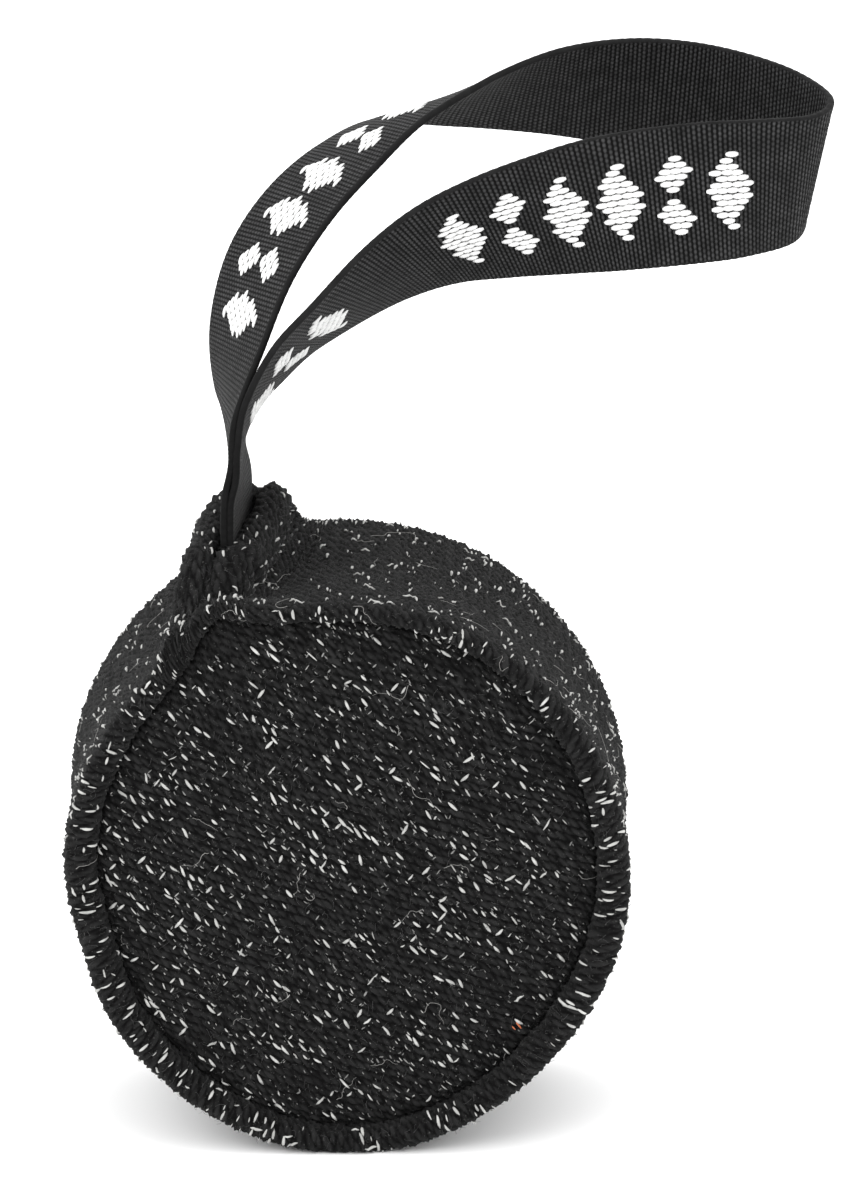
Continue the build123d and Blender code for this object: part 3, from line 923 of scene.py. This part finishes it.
def cloth_sites(low_u, high_u, low_v, high_v, turn, seed, share):
    """Places of the lobes that show white, in short runs along the yarn rows, for the stretch of
    cloth between those limits. The columns spread wider than the stretch, because each row's
    lobes are shifted along it."""
    draw = np.random.default_rng(seed)
    reach = math.hypot(high_u - low_u, high_v - low_v) / 2
    middle = turned((low_u + high_u) / 2, (low_v + high_v) / 2, turn)
    rows = np.arange(-int(reach / ROW_PITCH), int(reach / ROW_PITCH) + 1) + round(middle[1] / ROW_PITCH)
    spread = int(1.6 * reach / LOBE_PITCH)
    lobes = np.arange(-spread, spread + 1) + round(middle[0] / LOBE_PITCH)
    row, lobe = np.meshgrid(rows, lobes, indexing="ij")
    runs = np.cumsum(draw.random(row.shape) < 0.68, axis=1)
    lit = draw.random((len(rows), runs.max() + 1))
    shown = np.take_along_axis(lit, runs, axis=1) < share
    a = (lobe - row_shift(row)) * LOBE_PITCH
    b = row * ROW_PITCH
    u = a * math.cos(turn) - b * math.sin(turn) + draw.normal(0.0, 0.32, row.shape)
    v = a * math.sin(turn) + b * math.cos(turn) + draw.normal(0.0, 0.32, row.shape)
    shown &= (u > low_u) & (u < high_u) & (v > low_v) & (v < high_v)
    return u[shown], v[shown]


def fleck_strands(name, surface, u, v, turn, seed, relief_seed, size=1.0, material=FLECK):
    """Flecks lying on the yarn lobes: lens-shaped strands, most along the ply and some across
    it, following the cloth's relief and diving into it at their ends."""
    draw = np.random.default_rng(seed)
    count = len(u)
    crossing = draw.random(count) < 0.2
    lean = np.where(crossing, ACROSS_PLY, ALONG_PLY) + turn
    lean = lean + draw.normal(0.0, 0.16, count)
    length = size * np.clip(draw.normal(*FLECK_LENGTH, count), 0.8, 2.9)
    length = np.where(draw.random(count) < 0.4, 0.5 * length, length)
    wide = np.clip(length * draw.normal(*FLECK_WIDTH, count), 0.10, 0.34)
    share = np.linspace(-1.0, 1.0, 5)
    u = u[:, None] + (length * np.cos(lean))[:, None] * share / 2
    v = v[:, None] + (length * np.sin(lean))[:, None] * share / 2
    middle = cloth_height(u[:, 2:3], v[:, 2:3], turn, relief_seed)
    height = np.maximum(cloth_height(u, v, turn, relief_seed), middle - 0.25) + 0.14 - 0.16 * share**2
    lines, normals = lifted(surface, u, v, height)
    belly = np.sqrt(1.0 - 0.88 * share**2)
    return strands(name, settle(lines), normals, wide[:, None] * belly, 0.22 * size * belly, material)


def hair_strands(name, surface, limits, count, seed, reach, rise, thick, stations, material, curl):
    """Loose fibres: each starts on the cloth and wanders over it with a changing heading, rising
    off it in a low arc. reach is the longest one's length, rise its height at the tip, thick its
    half thickness and curl the change of heading from one station to the next."""
    draw = np.random.default_rng(seed)
    low_u, high_u, low_v, high_v = limits
    u = draw.uniform(low_u, high_u, count)
    v = draw.uniform(low_v, high_v, count)
    if surface in (front_surface, rear_surface):
        inside = np.hypot(u, v) < SEAM_ACROSS - 3.0
        u, v = u[inside], v[inside]
        count = len(u)
    length = reach * draw.uniform(0.35, 1.0, count)
    heading = draw.uniform(0.0, 2 * math.pi, count)[:, None] + np.cumsum(
        draw.normal(0.0, curl, (count, stations)), axis=1
    )
    step = (length / stations)[:, None]
    u = u[:, None] + np.cumsum(np.cos(heading) * step, axis=1)
    v = v[:, None] + np.cumsum(np.sin(heading) * step, axis=1)
    share = np.linspace(0.0, 1.0, stations)
    height = 0.35 + rise * draw.uniform(0.3, 1.0, count)[:, None] * share**0.7
    lines, normals = lifted(surface, u, v, height)
    width = thick * (1.0 - 0.6 * share)
    return strands(name, settle(lines), normals, width, width, material, sides=4)


PANEL_LIMITS = (-SEAM_UP, SEAM_UP, -SEAM_UP, SEAM_UP + SEAM_RISE)
BAND_LIMITS = (-RING_CLOTH / 2, RING_CLOTH / 2, TAIL_CLOTH + 0.8, BAND_CLOTH - TAIL_CLOTH - 0.8)


def inside_seam(u, v):
    """Which places of a panel's cloth lie inside its seam."""
    return np.hypot(u, v) < seam_radius(np.arctan2(v, u)) - 1.0


def panel_flecks(name, surface, seed, relief_seed):
    """White flecks over the whole of a round panel."""
    u, v = cloth_sites(*PANEL_LIMITS, PANEL_TURN, seed, PANEL_FLECKS)
    keep = inside_seam(u, v)
    return fleck_strands(name, surface, u[keep], v[keep], PANEL_TURN, seed + 1, relief_seed)


def panel_specks(name, surface, seed, relief_seed):
    """Small grey specks of pale fibre, scattered evenly."""
    draw = np.random.default_rng(seed)
    u = draw.uniform(-SEAM_UP, SEAM_UP, SPECK_COUNT)
    v = draw.uniform(-SEAM_UP, SEAM_UP, SPECK_COUNT)
    keep = inside_seam(u, v)
    return fleck_strands(
        name, surface, u[keep], v[keep], PANEL_TURN, seed + 1, relief_seed,
        size=0.42, material=SPECK,
    )


def band_flecks(name):
    """White flecks on the band: fewer on its flat than on its rims, and none near the slot."""
    u, v = cloth_sites(*BAND_LIMITS, BAND_TURN, 301, BAND_FLECKS)
    draw = np.random.default_rng(302)
    rim = np.minimum(v, BAND_CLOTH - v) < TAIL_CLOTH + ROLL_CLOTH + 4.0
    keep = (np.abs(u) > 7.0) & (rim | (draw.random(len(u)) < 0.36))
    return fleck_strands(name, band_point, u[keep], v[keep], BAND_TURN, 303, BAND_WEAVE)


on_cover = [
    panel_flecks("front_flecks", front_surface, 101, FRONT_WEAVE),
    panel_flecks("rear_flecks", rear_surface, 201, REAR_WEAVE),
    band_flecks("band_flecks"),
    panel_specks("front_specks", front_surface, 111, FRONT_WEAVE),
    panel_specks("rear_specks", rear_surface, 211, REAR_WEAVE),
    fleck_strands(
        "front_rust_fibre", front_surface, np.array([35.8, 36.9]), np.array([-32.6, -32.1]),
        PANEL_TURN, 7, FRONT_WEAVE, size=1.3, material=RUST,
    ),
]
# Each cloth with its numbers of pale hairs and of dark fuzz strands.
HAIR_ROUND = [
    ("front", front_surface, PANEL_LIMITS, 38, 1500),
    ("rear", rear_surface, PANEL_LIMITS, 38, 1500),
    ("band", band_point, BAND_LIMITS, 90, 5200),
]
for index, (place, surface, limits, hairs, fuzz) in enumerate(HAIR_ROUND):
    on_cover.append(hair_strands(
        place + "_loose_hairs", surface, limits, hairs, 401 + index,
        reach=11.0, rise=1.6, thick=0.055, stations=14, material=HAIR, curl=0.45,
    ))
    on_cover.append(hair_strands(
        place + "_fuzz", surface, limits, fuzz, 411 + index,
        reach=3.2, rise=1.3, thick=0.035, stations=4, material=FUZZ, curl=0.5,
    ))
extras = [(piece, "cover_tweed") for piece in on_cover]


# ---------------------------------------------------------------- threads

SEAM_STITCHES = 118
HALF_STITCH = 0.42                         # as a share of the stitches' pitch


def seam_stitches(name, side):
    """Short stitches in the bottom of a seam's crease, all round the panel."""
    share = np.linspace(-HALF_STITCH, HALF_STITCH, 5)
    angle = (np.arange(SEAM_STITCHES)[:, None] + share) * 2 * math.pi / SEAM_STITCHES
    radius = seam_at(angle, side) - 0.1
    y = side * (CREASE_Y - 0.55 + 0.5 * (1.0 - (share / HALF_STITCH) ** 2)) + 0 * angle
    lines = np.stack([radius * np.cos(angle), y, radius * np.sin(angle) + AXIS_HEIGHT], axis=-1)
    normals = np.zeros_like(lines)
    normals[..., 1] = side
    return strands(name, lines, normals, 0.22, 0.22, THREAD)


def lip_stitches(name, places, reaches):
    """Stitches that lie on the lip's walls, pulled into the cloth at their ends. places are
    distances along the lip from its middle, reaches the shares of the lip's cloth path."""
    y, reach, side = (a.ravel() for a in np.meshgrid(places, reaches, (-1.0, 1.0), indexing="ij"))
    share = np.linspace(-1.0, 1.0, 5)
    s = (side * reach * LIP_CLOTH)[:, None] + 0 * share
    t = BAND_CLOTH / 2 + y[:, None] + 1.2 * share
    lines, normals = lifted(band_point, s, t, 0.45 - 0.5 * share**2 + 0 * s)
    lines[..., 2] += AXIS_HEIGHT
    return strands(name, lines, normals, 0.25, 0.25, THREAD)


TACK_PLACES = (np.arange(7) - 3) * 4.0
END_PLACES = np.array([-21.0, -17.5, 17.5, 21.0])
for piece, node in (
    (seam_stitches("front_seam_stitches", -1), "front_seam_thread"),
    (seam_stitches("rear_seam_stitches", 1), "rear_seam_thread"),
    (lip_stitches("handle_tack_stitches", TACK_PLACES, (0.62, 0.74)), "handle_tacks"),
    (lip_stitches("end_seam_stitches", END_PLACES, (0.55, 0.66, 0.78)), "end_seam_thread"),
):
    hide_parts(node)
    extras.append((piece, "thread"))


# ---------------------------------------------------------------- webbing

STATIONS = strip_frames(1200)


def crown(s):
    """How far the strip's middle line bulges outwards where it turns over at the top."""
    return 1.4 * bump(s - TAIL_DEPTH - 105.0, 26.0)


def strip_points(s, w, h):
    """Points at a distance s along the strip, w across it and h outwards from its middle."""
    middle, _, across, out = STATIONS
    at = s / STRIP_LENGTH * (len(middle) - 1)
    station = np.arange(len(middle))
    centre, sideways, normal = (
        np.stack([np.interp(at, station, a[:, k]) for k in range(3)], axis=-1)
        for a in (middle, across, out)
    )
    arch = crown(s) * (1.0 - (w / (STRIP_WIDTH / 2)) ** 2)
    return centre + sideways * w[..., None] + normal * (h + arch)[..., None], normal


def webbing_piece(name):
    """The whole strip, closed at both ends: a flat section with thicker, notched selvedges and
    rounded edges, carried along the course. Rounded ribs run across it on both faces."""
    stations = int(STRIP_LENGTH / (RIB_PITCH / 4))
    s = np.linspace(0.0, STRIP_LENGTH, stations)
    half = STRIP_WIDTH / 2
    face = np.linspace(-1.0, 1.0, 21) * (half - 0.5)
    bend = np.radians([60.0, 20.0, -20.0, -60.0])
    rounded = half - 0.5 + 0.5 * np.cos(bend)
    w = np.concatenate([face, rounded, face[::-1], -rounded])
    h = np.concatenate([np.ones(21), np.sin(bend), -np.ones(21), -np.sin(bend)]) * STRIP_THICK / 2
    s_grid, w_grid = np.meshgrid(s, w, indexing="ij")
    h_grid = np.broadcast_to(h, s_grid.shape)
    rib = np.abs(np.sin(math.pi * s_grid / RIB_PITCH))
    weave = 0.6 + 0.4 * np.sin(2 * math.pi * w_grid / 3.1)
    selvedge = smoothstep(half - 2.2, half - 1.2, np.abs(w_grid))
    ribs = RIB_HEIGHT * (rib - 0.6) * weave * (1 - 0.9 * selvedge)
    h_grid = h_grid + np.sign(h_grid) * (ribs + 0.12 * selvedge)
    notch = np.abs(np.sin(math.pi * s_grid / (2 * RIB_PITCH))) - 0.5
    w_grid = w_grid * (1.0 + 0.006 * notch * selvedge)
    points, _ = strip_points(s_grid, w_grid, h_grid)
    size = len(w)
    # Round the section lie the outer face 0 to 20, an edge 21 to 24, the inner face 25 to 45
    # and the other edge 46 to 49. The caps join opposite points.
    k = np.arange(20)
    cap = np.vstack([
        np.stack([k, k + 1, 44 - k, 45 - k], axis=1),
        [(20, 21, 24, 25), (21, 22, 23, 24), (0, 45, 46, 49), (46, 47, 48, 49)],
    ])
    faces = np.vstack([
        grid_faces(stations, size, wrap_columns=True), cap[:, ::-1], cap + (stations - 1) * size,
    ])
    uv = np.stack([np.broadcast_to(w, s_grid.shape).ravel(), s_grid.ravel()], axis=1)
    return add_piece(name, points.reshape(-1, 3), faces, WEBBING, uv=uv)


def lozenge_shape(x, y):
    """One large lozenge, its points up and down."""
    return np.abs(x) / 5.0 + np.abs(y) / 10.0 < 0.96


def twin_shape(x, y):
    """Two small lozenges, one above the other."""
    return np.abs(x) / 4.6 + np.abs(np.abs(y) - 4.5) / 4.4 < 0.96


MOTIF = (lozenge_shape, twin_shape, lozenge_shape, lozenge_shape, twin_shape, lozenge_shape)
MOTIF_START = 33.0                         # from the lip to the first group
MOTIF_PERIOD = 94.0
MOTIF_END = 14.0                           # the last stretch before the lip stays plain
GLYPH_PITCH = 11.7
FLOAT_ROW = 1.3
FLOAT_LENGTH = 2.7
FLOAT_PITCH = 2.2


def motif_floats(name):
    """The white motif: raised lengthwise floats in staggered rows, six shapes to a group, the
    groups repeating along the strip's outer face."""
    rows = np.arange(-6, 7)
    steps = np.arange(-2, 3)
    row, step = (a.ravel() for a in np.meshgrid(rows, steps, indexing="ij"))
    x = (step + 0.5 * (row % 2)) * FLOAT_PITCH - 0.55
    y = row * FLOAT_ROW
    s, w = [], []
    group = TAIL_DEPTH + MOTIF_START
    while group < STRIP_LENGTH - TAIL_DEPTH:
        for k, shape in enumerate(MOTIF):
            inside = shape(x, y)
            s.append(group + (k + 0.5) * GLYPH_PITCH + x[inside])
            w.append(y[inside])
        group += MOTIF_PERIOD
    s, w = np.concatenate(s), np.concatenate(w)
    keep = s < STRIP_LENGTH - TAIL_DEPTH - MOTIF_END
    s, w = s[keep], w[keep]
    draw = np.random.default_rng(501)
    s = s + draw.normal(0.0, 0.10, len(s))
    share = np.linspace(-1.0, 1.0, 5)
    s_line = s[:, None] + share * FLOAT_LENGTH / 2
    w_line = w[:, None] + draw.normal(0.0, 0.05, len(w))[:, None] + 0 * share
    h_line = STRIP_THICK / 2 + 0.14 - 0.16 * share**2 + 0 * w_line
    lines, normals = strip_points(s_line, w_line, h_line)
    belly = np.sqrt(1.0 - 0.75 * share**2)
    return strands(name, lines, normals, 0.66 * belly + 0 * s_line, 0.26 * belly, WOVEN_WHITE)


webbing = webbing_piece("webbing_strip")
motif = motif_floats("webbing_motif")
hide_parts("webbing_loop", "webbing_ends")
for piece in (webbing, motif):
    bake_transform(piece)


# ---------------------------------------------------------------- filling

def round_form(name, profile, lump, seed, material):
    """A form turned about the drum's axis from a profile of radius and distance along the axis,
    with soft lumps."""
    rim = curve_through(profile, 8)
    turns = np.linspace(0.0, 2 * math.pi, 97)[:-1]
    angle, station = np.meshgrid(turns, np.arange(len(rim)), indexing="ij")
    radius, y = rim[station, 0], rim[station, 1]
    swell = lump * waves(radius * np.cos(angle) + 1.7 * y, radius * np.sin(angle) - 1.3 * y, 17.0, seed)
    fade = np.minimum(radius / 10.0, 1.0)
    radius = radius + swell * fade
    points = np.stack([radius * np.cos(angle), y, AXIS_HEIGHT + radius * np.sin(angle)], axis=-1)
    faces = grid_faces(*points.shape[:2], wrap_rows=True)
    return add_piece(name, points.reshape(-1, 3), faces, material)


def node_box(node):
    """The low and high corners of a frame node, in millimetres."""
    return tuple(np.array(corner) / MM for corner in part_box(node))


CORE_HIGH = node_box("foam_core")[1]
CORE_RADIUS = CORE_HIGH[0]
CORE_HALF = CORE_HIGH[1]
WRAP_HALF = node_box("wadding_wrap")[1][1]
PAD_HIGH = node_box("rear_pad")[1]
CORE_PROFILE = [
    (0.0, -CORE_HALF), (CORE_RADIUS / 2, -CORE_HALF), (CORE_RADIUS - 6, -CORE_HALF + 0.5),
    (CORE_RADIUS - 0.8, -CORE_HALF + 6), (CORE_RADIUS - 0.5, 0.0), (CORE_RADIUS - 0.8, CORE_HALF - 6),
    (CORE_RADIUS - 6, CORE_HALF - 0.5), (CORE_RADIUS / 2, CORE_HALF), (0.0, CORE_HALF),
]
WRAP_PROFILE = [
    (CORE_RADIUS + 1.2, 0.0), (CORE_RADIUS + 1.2, -WRAP_HALF + 3), (CORE_RADIUS + 4, -WRAP_HALF),
    (DRUM_RADIUS - 6, -WRAP_HALF + 1.5), (DRUM_RADIUS - 4.6, -WRAP_HALF + 6), (DRUM_RADIUS - 4.4, 0.0),
    (DRUM_RADIUS - 4.6, WRAP_HALF - 6), (DRUM_RADIUS - 6, WRAP_HALF - 1.5), (CORE_RADIUS + 4, WRAP_HALF),
    (CORE_RADIUS + 1.2, WRAP_HALF - 3), (CORE_RADIUS + 1.2, 0.0),
]


def pad_profile(side):
    """A lens of wadding, flat against the core and domed under the panel."""
    low, top, wide = side * (CORE_HALF + 1.0), side * (PAD_HIGH[1] - 1.5), PAD_HIGH[0] - 2.5
    edge = side * (CORE_HALF + 3.0)
    points = [
        (0.0, low), (wide * 0.6, low), (wide, edge),
        (wide * 0.85, top - side * 4.0), (wide * 0.45, top - side), (0.0, top),
    ]
    return points if side > 0 else points[::-1]


for piece, node, name in (
    (round_form("foam_core_disc", CORE_PROFILE, 0.15, 601, FOAM), "foam_core", "core_foam"),
    (round_form("wadding_ring", WRAP_PROFILE, 0.5, 602, WADDING), "wadding_wrap", "wadding"),
    (round_form("front_wadding_pad", pad_profile(-1), 0.5, 603, WADDING), "front_pad", "wadding"),
    (round_form("rear_wadding_pad", pad_profile(1), 0.5, 604, WADDING), "rear_pad", "wadding"),
):
    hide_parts(node)
    extras.append((piece, name))

for piece, name in extras:
    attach(piece, "bumper")


# ---------------------------------------------------------------- floor, light and camera

def floor_finish(name):
    """Matt white paper sweep with a trace of unevenness."""
    material, nodes, links = empty_material(name)
    place = nodes.new("ShaderNodeTexCoord")
    place.label = "Place on the floor"
    mottle = nodes.new("ShaderNodeTexNoise")
    mottle.label = "Paper"
    tone = nodes.new("ShaderNodeMix")
    tone.label = "White"
    shader = nodes.new("ShaderNodeBsdfPrincipled")
    shader.label = "Matt paper"
    output = nodes.new("ShaderNodeOutputMaterial")
    output.label = "Floor"

    for node, x, y in (
        (place, -700, 0), (mottle, -480, 0), (tone, -240, 0), (shader, 0, 0), (output, 300, 0),
    ):
        node.location = (x, y)

    mottle.inputs["Scale"].default_value = 6.0
    tone.data_type = "RGBA"
    tone.inputs["A"].default_value = (0.93, 0.93, 0.93, 1.0)
    tone.inputs["B"].default_value = (0.95, 0.95, 0.95, 1.0)
    shader.inputs["Roughness"].default_value = 1.0
    shader.inputs["Specular IOR Level"].default_value = 0.0
    links.new(place.outputs["Object"], mottle.inputs["Vector"])
    links.new(mottle.outputs["Fac"], tone.inputs["Factor"])
    links.new(tone.outputs["Result"], shader.inputs["Base Color"])
    links.new(shader.outputs["BSDF"], output.inputs["Surface"])
    return material


FLOOR_REACH = 20000.0
corners = np.array([(-1, -1, 0), (1, -1, 0), (1, 1, 0), (-1, 1, 0)]) * FLOOR_REACH
floor = add_piece("floor", corners, np.array([[0, 1, 2, 3]]), floor_finish("floor_paper"))

ELEVATION = math.radians(15.0)
DISTANCE = 3000.0
VIEW_HEIGHT = 255.5
SENSOR = 36.0
AIM_SHIFT = np.array([-3.4, 10.7, -4.2])   # from the middle of the frame's box
aim = (np.array(CAD_BOX[0]) + np.array(CAD_BOX[1])) / 2 + AIM_SHIFT * MM
camera_data = bpy.data.cameras.new("camera")
camera_data.sensor_width = SENSOR
camera_data.lens = SENSOR * DISTANCE / VIEW_HEIGHT
camera_data.clip_start = 0.1
camera_data.clip_end = 60.0
camera = bpy.data.objects.new("camera", camera_data)
back = Vector((0.0, -math.cos(ELEVATION), math.sin(ELEVATION)))
camera.location = Vector(aim) + back * DISTANCE * MM
camera.rotation_euler = (-back).to_track_quat("-Z", "Y").to_euler()
bpy.context.scene.collection.objects.link(camera)
bpy.context.scene.camera = camera


def soft_light(name, place, size, power):
    """A square soft box that faces the drum."""
    data = bpy.data.lights.new(name, "AREA")
    data.size = size * MM
    data.energy = power
    light = bpy.data.objects.new(name, data)
    light.location = Vector(place) * MM
    towards = Vector((0.0, 0.0, AXIS_HEIGHT)) * MM - light.location
    light.rotation_euler = towards.to_track_quat("-Z", "Y").to_euler()
    bpy.context.scene.collection.objects.link(light)


soft_light("key_softbox", (-800.0, -1300.0, 900.0), 900.0, 8.0)
soft_light("top_softbox", (200.0, 300.0, 1500.0), 1200.0, 1.5)

world = bpy.data.worlds.new("studio")
world.use_nodes = True
sky = world.node_tree.nodes["Background"]
sky.inputs["Color"].default_value = (1.0, 1.0, 1.0, 1.0)
sky.inputs["Strength"].default_value = 1.9
bpy.context.scene.world = world
bpy.context.scene.view_settings.view_transform = "Standard"
